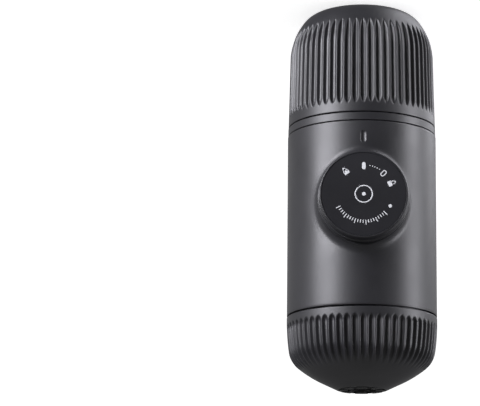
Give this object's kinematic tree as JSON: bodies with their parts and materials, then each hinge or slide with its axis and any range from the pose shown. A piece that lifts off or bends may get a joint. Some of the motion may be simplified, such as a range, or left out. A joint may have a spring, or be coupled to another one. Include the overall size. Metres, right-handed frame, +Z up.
{
  "type": "handheld manual espresso maker",
  "caption": "Barrel-shaped hand-pumped espresso maker with a ribbed screw-on water tank, a round turn-and-press pump knob on its side and a ribbed portafilter with a cone nozzle.",
  "frame": {"origin": "centre of the water tank's flat base, which the maker stands on", "axes": "+Z up the barrel's axis from the tank to the nozzle, -Y out through the middle of the pump knob"},
  "size_m": [0.061, 0.0705, 0.1573],
  "materials": {
    "charcoal": "satin dark charcoal moulded plastic",
    "dial": "near-black satin plastic with printed marks",
    "nozzle_plastic": "black moulded plastic",
    "inner_plastic": "black glass-filled plastic",
    "bush": "natural white low-friction plastic",
    "seal": "grey silicone rubber",
    "steel": "stainless steel"
  },
  "bodies": {
    "pump_body": {"tank_collar": "charcoal", "collar_screws": "steel", "intake_strainer": "inner_plastic", "air_valve": "seal", "body_shell": "charcoal", "pump_block": "inner_plastic", "rod_guide": "bush", "lock_tube": "inner_plastic", "lock_screws": "steel", "return_spring": "steel", "inlet_valve_seat": "bush", "inlet_valve_spring": "steel", "outlet_valve_seat": "bush", "outlet_valve_spring": "steel", "outlet_tube": "bush", "tube_seals": "seal", "brew_head": "inner_plastic", "brew_screws": "steel", "brew_gasket": "seal", "shower_screen": "steel", "shower_screw": "steel"},
    "plunger": {"plunger_rod": "steel", "piston": "inner_plastic", "piston_seal": "seal", "knob_clip": "steel"},
    "knob": {"knob_cap": "charcoal", "dial_disc": "dial"},
    "inlet_ball": {"inlet_valve_ball": "steel"},
    "outlet_ball": {"outlet_valve_ball": "steel"},
    "tank_ring": {"tank_seal": "seal"},
    "tank": {"water_tank": "charcoal"},
    "portafilter_ring": {"portafilter_seal": "seal"},
    "portafilter_body": {"portafilter": "charcoal", "nozzle": "nozzle_plastic", "nozzle_seal": "seal", "brew_valve_spring": "steel"},
    "brew_valve_disc": {"brew_valve": "steel"},
    "basket": {"filter_basket": "steel"}
  },
  "joints": [
    {"name": "piston_stroke", "type": "slide", "parent": "pump_body", "child": "plunger", "axis": [0, -1, 0], "range_m": [0, 0.017], "deforming": ["return_spring"]},
    {"name": "knob_turn", "type": "hinge", "parent": "plunger", "child": "knob", "pos_m": [0, -0.04, 0.08505], "axis": [0, -1, 0], "range_deg": [0, 45]},
    {"name": "inlet_ball_lift", "type": "slide", "parent": "pump_body", "child": "inlet_ball", "axis": [0, 0, 1], "range_m": [0, 0.0015], "deforming": ["inlet_valve_spring"]},
    {"name": "outlet_ball_lift", "type": "slide", "parent": "pump_body", "child": "outlet_ball", "axis": [0, 0, 1], "range_m": [0, 0.0015], "deforming": ["outlet_valve_spring"]},
    {"name": "tank_pull_off", "type": "slide", "parent": "pump_body", "child": "tank_ring", "axis": [0, 0, -1], "range_m": [0, 0.03]},
    {"name": "tank_unscrew", "type": "hinge", "parent": "tank_ring", "child": "tank", "pos_m": [0, 0, 0.0449], "axis": [0, 0, -1], "range_deg": [0, 270]},
    {"name": "portafilter_lift_off", "type": "slide", "parent": "pump_body", "child": "portafilter_ring", "axis": [0, 0, 1], "range_m": [0, 0.045]},
    {"name": "portafilter_unscrew", "type": "hinge", "parent": "portafilter_ring", "child": "portafilter_body", "pos_m": [0, 0, 0.1312], "axis": [0, 0, 1], "range_deg": [0, 270]},
    {"name": "brew_valve_lift", "type": "slide", "parent": "portafilter_body", "child": "brew_valve_disc", "axis": [0, 0, 1], "range_m": [0, 0.001], "deforming": ["brew_valve_spring"]},
    {"name": "basket_lift_out", "type": "slide", "parent": "pump_body", "child": "basket", "axis": [0, 0, 1], "range_m": [0, 0.018]}
  ],
  "couplings": [
    {"joint": "basket_lift_out", "follows": "portafilter_lift_off", "ratio": 0.4}
  ]
}
